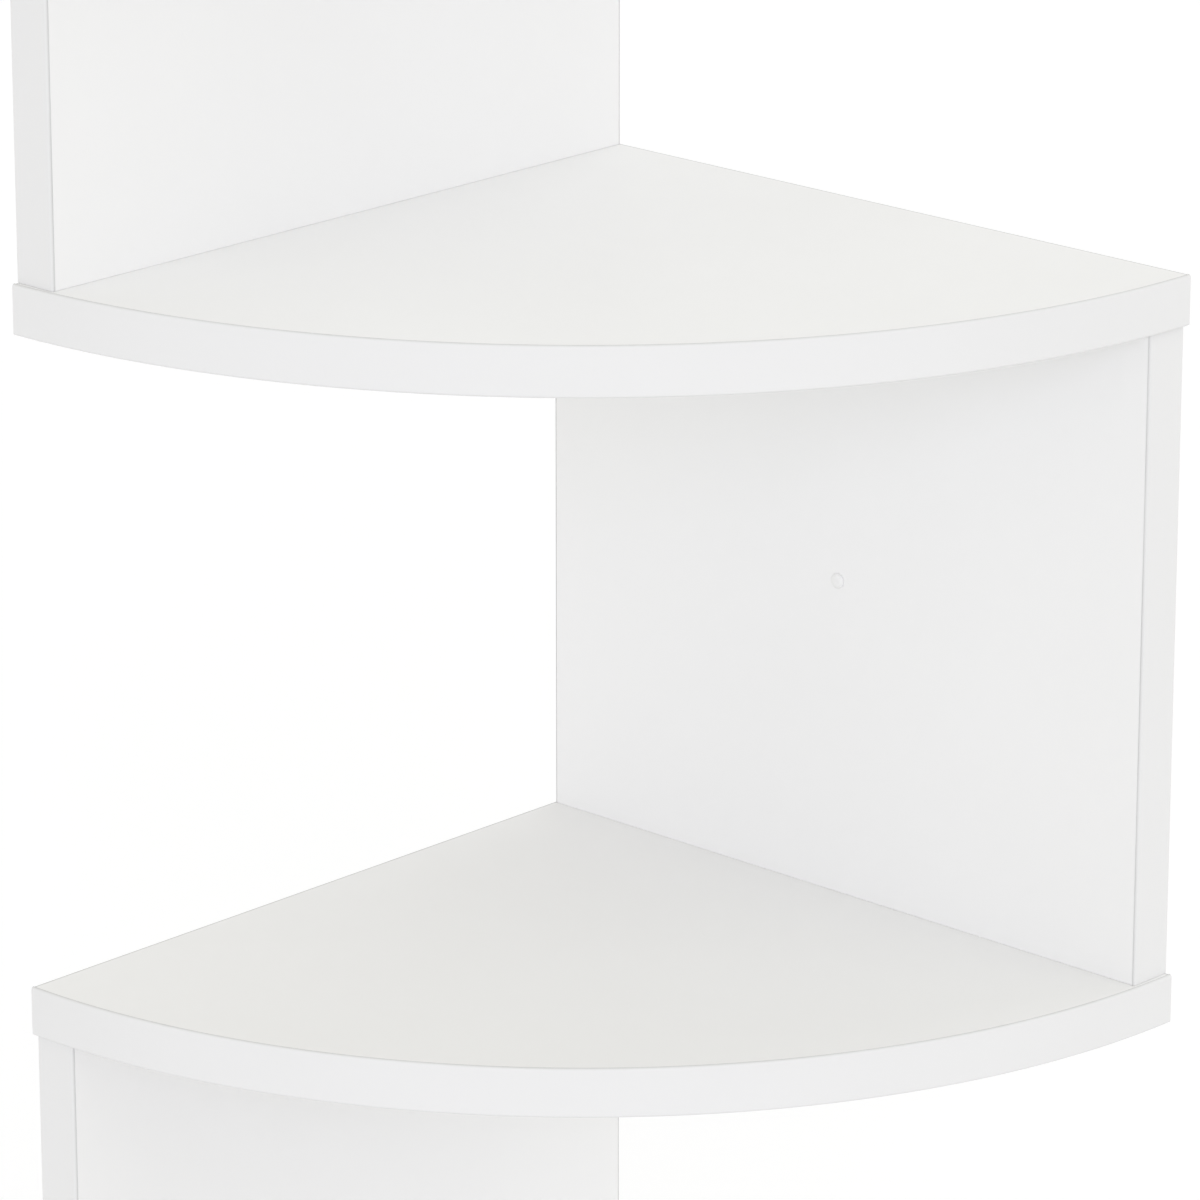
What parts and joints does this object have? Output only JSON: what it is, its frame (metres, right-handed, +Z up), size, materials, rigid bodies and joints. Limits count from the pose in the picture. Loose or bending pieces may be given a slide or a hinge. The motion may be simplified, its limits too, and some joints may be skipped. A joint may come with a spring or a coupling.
{
  "type": "corner shelf unit",
  "caption": "Tall wall-fixed corner shelf unit with quarter-round white shelves, joined by upright panels that stand in turn on either wall of a room corner.",
  "frame": {"origin": "the room corner at the level of the foot of the unit, where the plane of the back wall, the plane of the left wall and the lowest edge of the lowest panel meet", "axes": "+X along the back wall to the right, -Y along the left wall out into the room, +Z up"},
  "size_m": [0.25, 0.25, 1.334],
  "materials": {
    "white_board": "chipboard faced with matt white melamine, very fine pearl grain",
    "edge_band": "matt white plastic edge band, 1 mm, with rounded outer edges",
    "white_plug": "satin white moulded plastic",
    "zinc_cam": "die-cast zinc alloy, dull grey",
    "steel_bolt": "bright zinc-plated steel",
    "beech_dowel": "fluted beech, unfinished"
  },
  "bodies": {
    "root": {"panel_1_back": "white_board", "panel_1_back_end_band": "edge_band", "panel_1_back_front_band": "edge_band", "panel_1_back_head_bolt": "steel_bolt", "panel_1_back_head_cam": "zinc_cam", "panel_1_back_head_dowel": "beech_dowel", "panel_1_back_plug": "white_plug", "panel_2_left": "white_board", "panel_2_left_foot_bolt": "steel_bolt", "panel_2_left_foot_cam": "zinc_cam", "panel_2_left_foot_dowel": "beech_dowel", "panel_2_left_front_band": "edge_band", "panel_2_left_head_bolt": "steel_bolt", "panel_2_left_head_cam": "zinc_cam", "panel_2_left_head_dowel": "beech_dowel", "panel_2_left_plug": "white_plug", "panel_3_back": "white_board", "panel_3_back_foot_bolt": "steel_bolt", "panel_3_back_foot_cam": "zinc_cam", "panel_3_back_foot_dowel": "beech_dowel", "panel_3_back_front_band": "edge_band", "panel_3_back_head_bolt": "steel_bolt", "panel_3_back_head_cam": "zinc_cam", "panel_3_back_head_dowel": "beech_dowel", "panel_3_back_plug": "white_plug", "panel_4_left": "white_board", "panel_4_left_foot_bolt": "steel_bolt", "panel_4_left_foot_cam": "zinc_cam", "panel_4_left_foot_dowel": "beech_dowel", "panel_4_left_front_band": "edge_band", "panel_4_left_head_bolt": "steel_bolt", "panel_4_left_head_cam": "zinc_cam", "panel_4_left_head_dowel": "beech_dowel", "panel_4_left_plug": "white_plug", "panel_5_back": "white_board", "panel_5_back_foot_bolt": "steel_bolt", "panel_5_back_foot_cam": "zinc_cam", "panel_5_back_foot_dowel": "beech_dowel", "panel_5_back_front_band": "edge_band", "panel_5_back_head_bolt": "steel_bolt", "panel_5_back_head_cam": "zinc_cam", "panel_5_back_head_dowel": "beech_dowel", "panel_5_back_plug": "white_plug", "panel_6_left": "white_board", "panel_6_left_end_band": "edge_band", "panel_6_left_foot_bolt": "steel_bolt", "panel_6_left_foot_cam": "zinc_cam", "panel_6_left_foot_dowel": "beech_dowel", "panel_6_left_front_band": "edge_band", "panel_6_left_plug": "white_plug", "shelf_1": "white_board", "shelf_1_band": "edge_band", "shelf_2": "white_board", "shelf_2_band": "edge_band", "shelf_3": "white_board", "shelf_3_band": "edge_band", "shelf_4": "white_board", "shelf_4_band": "edge_band", "shelf_5": "white_board", "shelf_5_band": "edge_band"}
  },
  "joints": []
}
